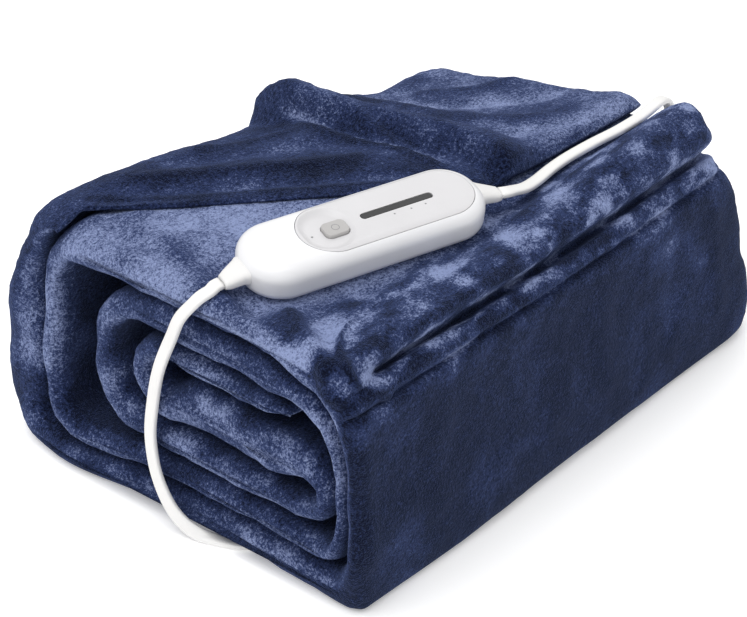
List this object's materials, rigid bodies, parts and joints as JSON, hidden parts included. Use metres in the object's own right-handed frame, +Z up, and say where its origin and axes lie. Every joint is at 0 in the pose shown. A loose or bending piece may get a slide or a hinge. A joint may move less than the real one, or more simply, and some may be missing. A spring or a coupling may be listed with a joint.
{
  "type": "electric heated blanket",
  "caption": "Folded plush electric throw with a hand controller lying on top, a low-voltage lead into the cloth and a coiled mains lead with a plug.",
  "frame": {"origin": "point of the floor under the middle of the bundle and its controller", "axes": "+X from the open end with its folds to the closed far end, +Y from the plain front face to the back fold, +Z up from the floor"},
  "size_m": [0.4601, 0.2925, 0.1611],
  "materials": {
    "plush": "brushed navy plush",
    "shell": "satin white",
    "plate": "fine satin light grey",
    "button": "soft touch warm grey",
    "window": "smoked clear",
    "relief": "moulded white",
    "cord": "moulded white",
    "tie": "black",
    "plug": "moulded white",
    "blade": "plain"
  },
  "bodies": {
    "bundle": {"blanket": "plush", "controller_body": "shell", "face_plate": "plate", "indicator_window": "window", "loop_relief": "relief", "mains_relief": "relief", "loop_cord": "cord", "mains_cord": "cord", "mains_coil": "cord", "coil_tie": "tie", "mains_tail": "cord", "plug_body": "plug", "plug_blade_left": "blade", "plug_blade_right": "blade"},
    "button": {"button": "button"}
  },
  "joints": [
    {"name": "button_press", "type": "slide", "parent": "bundle", "child": "button", "axis": [0.0872, 0.187, -0.9785], "range_m": [0, 0.001], "stiffness_N_per_m": 500}
  ]
}
